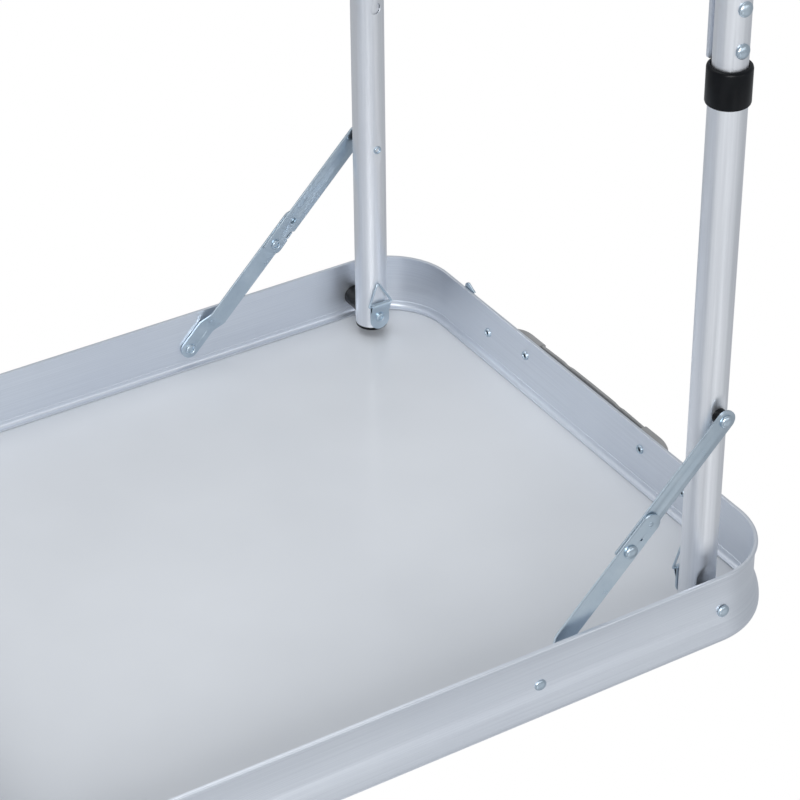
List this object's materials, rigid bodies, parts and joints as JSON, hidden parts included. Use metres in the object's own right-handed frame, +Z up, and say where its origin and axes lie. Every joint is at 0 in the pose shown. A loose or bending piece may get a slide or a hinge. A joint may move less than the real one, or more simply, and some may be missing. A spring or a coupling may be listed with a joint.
{
  "type": "folding picnic table",
  "caption": "Low folding table: two aluminium-rimmed trays hinged in the middle, with telescopic legs that fold flat into them on jointed steel braces.",
  "frame": {"origin": "centre of the footprint, on the plane the four feet stand on, legs pushed in", "axes": "+X along the table from the left half to the right half, which carries the handle; +Y across it to the rear; +Z up, from the feet to the table top"},
  "size_m": [1.2062, 0.5, 0.55],
  "materials": {
    "rim_aluminium": "satin mill finish extrusion",
    "tube_aluminium": "satin anodised tube",
    "white_board": "white coated fibreboard, low gloss",
    "zinc_steel": "bright zinc plate",
    "black_plastic": "black moulded plastic",
    "grey_plastic": "warm grey moulded plastic"
  },
  "bodies": {
    "half_left": {"rim_left": "rim_aluminium", "panel_left": "white_board", "centre_rail_left": "rim_aluminium", "hinge_leaf_left_front": "zinc_steel", "hinge_leaf_left_rear": "zinc_steel", "latch_stud_front": "zinc_steel", "latch_stud_rear": "zinc_steel", "pivot_rivet_left_front": "zinc_steel", "pivot_spacer_left_front": "black_plastic", "pivot_rivet_left_rear": "zinc_steel", "pivot_spacer_left_rear": "black_plastic"},
    "half_right": {"rim_right": "rim_aluminium", "panel_right": "white_board", "centre_rail_right": "rim_aluminium", "hinge_leaf_right_front": "zinc_steel", "hinge_leaf_right_rear": "zinc_steel", "handle_strap": "grey_plastic", "handle_cap_front": "grey_plastic", "handle_cap_rear": "grey_plastic", "pivot_rivet_right_front": "zinc_steel", "pivot_spacer_right_front": "black_plastic", "pivot_rivet_right_rear": "zinc_steel", "pivot_spacer_right_rear": "black_plastic"},
    "leg_frame_right": {"outer_tube_right_front": "tube_aluminium", "collar_right_front": "black_plastic", "outer_tube_right_rear": "tube_aluminium", "collar_right_rear": "black_plastic"},
    "foot_frame_right": {"crossbar_right": "rim_aluminium", "inner_tube_right_front": "tube_aluminium", "foot_right_front": "black_plastic", "inner_tube_right_rear": "tube_aluminium", "foot_right_rear": "black_plastic"},
    "leg_frame_left": {"outer_tube_left_front": "tube_aluminium", "collar_left_front": "black_plastic", "outer_tube_left_rear": "tube_aluminium", "collar_left_rear": "black_plastic"},
    "foot_frame_left": {"crossbar_left": "rim_aluminium", "inner_tube_left_front": "tube_aluminium", "foot_left_front": "black_plastic", "inner_tube_left_rear": "tube_aluminium", "foot_left_rear": "black_plastic"},
    "brace_lower_right_front": {"brace_lower_right_front": "zinc_steel"},
    "brace_upper_right_front": {"brace_upper_right_front": "zinc_steel"},
    "snap_button_right_front": {"snap_button_right_front": "zinc_steel"},
    "d_ring_right_front": {"d_ring_right_front": "zinc_steel"},
    "brace_lower_right_rear": {"brace_lower_right_rear": "zinc_steel"},
    "brace_upper_right_rear": {"brace_upper_right_rear": "zinc_steel"},
    "snap_button_right_rear": {"snap_button_right_rear": "zinc_steel"},
    "d_ring_right_rear": {"d_ring_right_rear": "zinc_steel"},
    "brace_lower_left_front": {"brace_lower_left_front": "zinc_steel"},
    "brace_upper_left_front": {"brace_upper_left_front": "zinc_steel"},
    "snap_button_left_front": {"snap_button_left_front": "zinc_steel"},
    "d_ring_left_front": {"d_ring_left_front": "zinc_steel"},
    "brace_lower_left_rear": {"brace_lower_left_rear": "zinc_steel"},
    "brace_upper_left_rear": {"brace_upper_left_rear": "zinc_steel"},
    "snap_button_left_rear": {"snap_button_left_rear": "zinc_steel"},
    "d_ring_left_rear": {"d_ring_left_rear": "zinc_steel"},
    "latch_hook_front": {"latch_hook_front": "zinc_steel"},
    "latch_hook_rear": {"latch_hook_rear": "zinc_steel"}
  },
  "joints": [
    {"name": "half_fold", "type": "hinge", "parent": "half_left", "child": "half_right", "pos_m": [0, 0, 0.492], "axis": [0, 1, 0], "range_deg": [0, 80]},
    {"name": "leg_fold_right", "type": "hinge", "parent": "half_right", "child": "leg_frame_right", "pos_m": [0.5405, 0, 0.525], "axis": [0, 1, 0], "range_deg": [0, 90]},
    {"name": "height_slide_right", "type": "slide", "parent": "leg_frame_right", "child": "foot_frame_right", "axis": [0, 0, 1], "range_m": [-0.1, 0]},
    {"name": "leg_fold_left", "type": "hinge", "parent": "half_left", "child": "leg_frame_left", "pos_m": [-0.5405, 0, 0.525], "axis": [0, -1, 0], "range_deg": [0, 90]},
    {"name": "height_slide_left", "type": "slide", "parent": "leg_frame_left", "child": "foot_frame_left", "axis": [0, 0, 1], "range_m": [-0.1, 0]},
    {"name": "brace_lower_right_front_turn", "type": "hinge", "parent": "half_right", "child": "brace_lower_right_front", "pos_m": [0.3905, -0.24, 0.525], "axis": [0, 1, 0], "range_deg": [-45, 0]},
    {"name": "brace_upper_right_front_turn", "type": "hinge", "parent": "leg_frame_right", "child": "brace_upper_right_front", "pos_m": [0.5405, -0.234, 0.375], "axis": [0, 1, 0], "range_deg": [0, 45]},
    {"name": "snap_button_right_front_press", "type": "slide", "parent": "foot_frame_right", "child": "snap_button_right_front", "axis": [0, -1, 0], "range_m": [0, 0.0015], "stiffness_N_per_m": 1500},
    {"name": "d_ring_right_front_swing", "type": "hinge", "parent": "leg_frame_right", "child": "d_ring_right_front", "pos_m": [0.5405, -0.2015, 0.513], "axis": [1, 0, 0], "range_deg": [0, 75]},
    {"name": "brace_lower_right_rear_turn", "type": "hinge", "parent": "half_right", "child": "brace_lower_right_rear", "pos_m": [0.3905, 0.24, 0.525], "axis": [0, 1, 0], "range_deg": [-45, 0]},
    {"name": "brace_upper_right_rear_turn", "type": "hinge", "parent": "leg_frame_right", "child": "brace_upper_right_rear", "pos_m": [0.5405, 0.234, 0.375], "axis": [0, 1, 0], "range_deg": [0, 45]},
    {"name": "snap_button_right_rear_press", "type": "slide", "parent": "foot_frame_right", "child": "snap_button_right_rear", "axis": [0, 1, 0], "range_m": [0, 0.0015], "stiffness_N_per_m": 1500},
    {"name": "d_ring_right_rear_swing", "type": "hinge", "parent": "leg_frame_right", "child": "d_ring_right_rear", "pos_m": [0.5405, 0.2015, 0.513], "axis": [-1, 0, 0], "range_deg": [0, 75]},
    {"name": "brace_lower_left_front_turn", "type": "hinge", "parent": "half_left", "child": "brace_lower_left_front", "pos_m": [-0.3905, -0.24, 0.525], "axis": [0, -1, 0], "range_deg": [-45, 0]},
    {"name": "brace_upper_left_front_turn", "type": "hinge", "parent": "leg_frame_left", "child": "brace_upper_left_front", "pos_m": [-0.5405, -0.234, 0.375], "axis": [0, -1, 0], "range_deg": [0, 45]},
    {"name": "snap_button_left_front_press", "type": "slide", "parent": "foot_frame_left", "child": "snap_button_left_front", "axis": [0, -1, 0], "range_m": [0, 0.0015], "stiffness_N_per_m": 1500},
    {"name": "d_ring_left_front_swing", "type": "hinge", "parent": "leg_frame_left", "child": "d_ring_left_front", "pos_m": [-0.5405, -0.2015, 0.513], "axis": [1, 0, 0], "range_deg": [0, 75]},
    {"name": "brace_lower_left_rear_turn", "type": "hinge", "parent": "half_left", "child": "brace_lower_left_rear", "pos_m": [-0.3905, 0.24, 0.525], "axis": [0, -1, 0], "range_deg": [-45, 0]},
    {"name": "brace_upper_left_rear_turn", "type": "hinge", "parent": "leg_frame_left", "child": "brace_upper_left_rear", "pos_m": [-0.5405, 0.234, 0.375], "axis": [0, -1, 0], "range_deg": [0, 45]},
    {"name": "snap_button_left_rear_press", "type": "slide", "parent": "foot_frame_left", "child": "snap_button_left_rear", "axis": [0, 1, 0], "range_m": [0, 0.0015], "stiffness_N_per_m": 1500},
    {"name": "d_ring_left_rear_swing", "type": "hinge", "parent": "leg_frame_left", "child": "d_ring_left_rear", "pos_m": [-0.5405, 0.2015, 0.513], "axis": [-1, 0, 0], "range_deg": [0, 75]},
    {"name": "latch_front_swing", "type": "hinge", "parent": "half_right", "child": "latch_hook_front", "pos_m": [0.5975, -0.127, 0.5175], "axis": [1, 0, 0], "range_deg": [-33, 57]},
    {"name": "latch_rear_swing", "type": "hinge", "parent": "half_right", "child": "latch_hook_rear", "pos_m": [0.5975, 0.127, 0.5175], "axis": [1, 0, 0], "range_deg": [-90, 0]}
  ],
  "couplings": [
    {"joint": "brace_lower_right_front_turn", "follows": "leg_fold_right", "ratio": -0.5},
    {"joint": "brace_upper_right_front_turn", "follows": "leg_fold_right", "ratio": 0.5},
    {"joint": "brace_lower_right_rear_turn", "follows": "leg_fold_right", "ratio": -0.5},
    {"joint": "brace_upper_right_rear_turn", "follows": "leg_fold_right", "ratio": 0.5},
    {"joint": "brace_lower_left_front_turn", "follows": "leg_fold_left", "ratio": -0.5},
    {"joint": "brace_upper_left_front_turn", "follows": "leg_fold_left", "ratio": 0.5},
    {"joint": "brace_lower_left_rear_turn", "follows": "leg_fold_left", "ratio": -0.5},
    {"joint": "brace_upper_left_rear_turn", "follows": "leg_fold_left", "ratio": 0.5}
  ]
}
